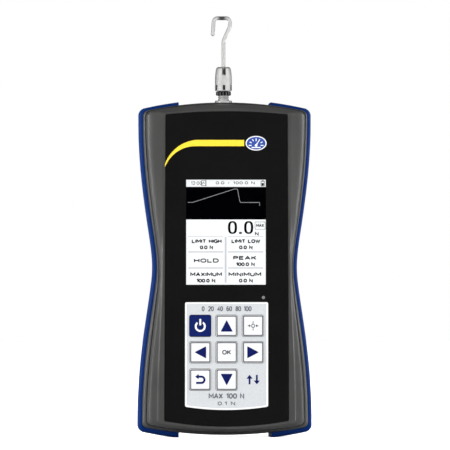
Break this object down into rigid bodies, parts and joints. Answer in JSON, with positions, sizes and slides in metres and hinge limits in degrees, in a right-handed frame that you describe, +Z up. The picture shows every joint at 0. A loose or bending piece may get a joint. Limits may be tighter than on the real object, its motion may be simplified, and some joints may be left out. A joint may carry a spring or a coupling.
{
  "type": "force gauge",
  "caption": "Handheld digital force gauge: waisted grey case with blue side bumpers, colour display, press-key pad and a steel wire hook on a threaded measuring spindle.",
  "frame": {"origin": "centre of the bottom of the bounding box: midway between the bumpers and midway through the depth, at the flat ends of the bumpers the gauge stands on", "axes": "+Z up along the measuring spindle, +X to the right seen from the front, display and keys face -Y"},
  "size_m": [0.096, 0.0428, 0.2314],
  "materials": {
    "case_grey": "fine satin moulding grain",
    "bumper_blue": "smooth soft-touch elastomer",
    "panel_black": "satin-gloss printed front film",
    "window_clear": "clear polished pane",
    "display_face": "lit liquid-crystal face",
    "gasket_black": "foam",
    "display_metal": "stamped",
    "light_pipe": "frosted clear",
    "keypad_grey": "printed film",
    "key_white": "satin",
    "key_blue": "satin",
    "component_black": "moulded epoxy",
    "board_green": "solder mask",
    "socket_steel": "plated",
    "screw_steel": "zinc plated",
    "cell_wrap": "heat-shrink sleeve",
    "tray_black": "moulded",
    "cell_aluminium": "machined",
    "bracket_steel": "zinc plated",
    "bush_steel": "turned",
    "spindle_steel": "turned stainless",
    "nut_dark": "blackened, knurled",
    "hook_steel": "polished plating",
    "insert_brass": "turned",
    "label_grey": "blank printed film"
  },
  "bodies": {
    "housing": {"front_shell": "case_grey", "rear_shell": "case_grey", "bumper_left": "bumper_blue", "bumper_right": "bumper_blue", "front_panel": "panel_black", "display_window": "window_clear", "display_panel": "display_face", "display_gasket": "gasket_black", "display_frame": "display_metal", "status_light": "light_pipe", "keypad_plate": "keypad_grey", "key_switches": "component_black", "board_chips": "component_black", "buzzer": "component_black", "power_jack": "component_black", "main_board": "board_green", "port_board": "board_green", "usb_socket": "socket_steel", "board_screw_1": "screw_steel", "board_screw_2": "screw_steel", "board_screw_3": "screw_steel", "board_screw_4": "screw_steel", "case_screw_1": "screw_steel", "case_screw_2": "screw_steel", "case_screw_3": "screw_steel", "case_screw_4": "screw_steel", "bracket_screw_1": "screw_steel", "bracket_screw_2": "screw_steel", "load_cell_bolt": "screw_steel", "battery_cell_1": "cell_wrap", "battery_cell_2": "cell_wrap", "battery_cell_3": "cell_wrap", "battery_cell_4": "cell_wrap", "battery_cell_5": "cell_wrap", "battery_tray": "tray_black", "load_cell_base": "cell_aluminium", "load_cell_bracket": "bracket_steel", "spindle_bush": "bush_steel", "mounting_insert_1": "insert_brass", "mounting_insert_2": "insert_brass", "mounting_insert_3": "insert_brass", "mounting_insert_4": "insert_brass", "rear_label": "label_grey"},
    "spindle": {"spindle": "spindle_steel", "load_cell_head": "cell_aluminium"},
    "lock_nut": {"lock_nut": "nut_dark"},
    "hook": {"hook_holder": "hook_steel", "hook": "hook_steel"},
    "key_power": {"key_power": "key_blue"},
    "key_up": {"key_up": "key_white"},
    "key_zero": {"key_zero": "key_white"},
    "key_left": {"key_left": "key_white"},
    "key_ok": {"key_ok": "key_white"},
    "key_right": {"key_right": "key_white"},
    "key_back": {"key_back": "key_white"},
    "key_down": {"key_down": "key_white"}
  },
  "joints": [
    {"name": "spindle_travel", "type": "slide", "parent": "housing", "child": "spindle", "axis": [0, 0, 1], "range_m": [-0.0003, 0.0003], "stiffness_N_per_m": 20000},
    {"name": "lock_nut_turn", "type": "hinge", "parent": "spindle", "child": "lock_nut", "pos_m": [0, 0.003, 0.189], "axis": [0, 0, 1], "continuous": true},
    {"name": "hook_turn", "type": "hinge", "parent": "spindle", "child": "hook", "pos_m": [0, 0.003, 0.195], "axis": [0, 0, 1], "continuous": true},
    {"name": "key_power_press", "type": "slide", "parent": "housing", "child": "key_power", "axis": [0, 1, 0], "range_m": [0, 0.0004], "stiffness_N_per_m": 1500},
    {"name": "key_up_press", "type": "slide", "parent": "housing", "child": "key_up", "axis": [0, 1, 0], "range_m": [0, 0.0004], "stiffness_N_per_m": 1500},
    {"name": "key_zero_press", "type": "slide", "parent": "housing", "child": "key_zero", "axis": [0, 1, 0], "range_m": [0, 0.0004], "stiffness_N_per_m": 1500},
    {"name": "key_left_press", "type": "slide", "parent": "housing", "child": "key_left", "axis": [0, 1, 0], "range_m": [0, 0.0004], "stiffness_N_per_m": 1500},
    {"name": "key_ok_press", "type": "slide", "parent": "housing", "child": "key_ok", "axis": [0, 1, 0], "range_m": [0, 0.0004], "stiffness_N_per_m": 1500},
    {"name": "key_right_press", "type": "slide", "parent": "housing", "child": "key_right", "axis": [0, 1, 0], "range_m": [0, 0.0004], "stiffness_N_per_m": 1500},
    {"name": "key_back_press", "type": "slide", "parent": "housing", "child": "key_back", "axis": [0, 1, 0], "range_m": [0, 0.0004], "stiffness_N_per_m": 1500},
    {"name": "key_down_press", "type": "slide", "parent": "housing", "child": "key_down", "axis": [0, 1, 0], "range_m": [0, 0.0004], "stiffness_N_per_m": 1500}
  ]
}
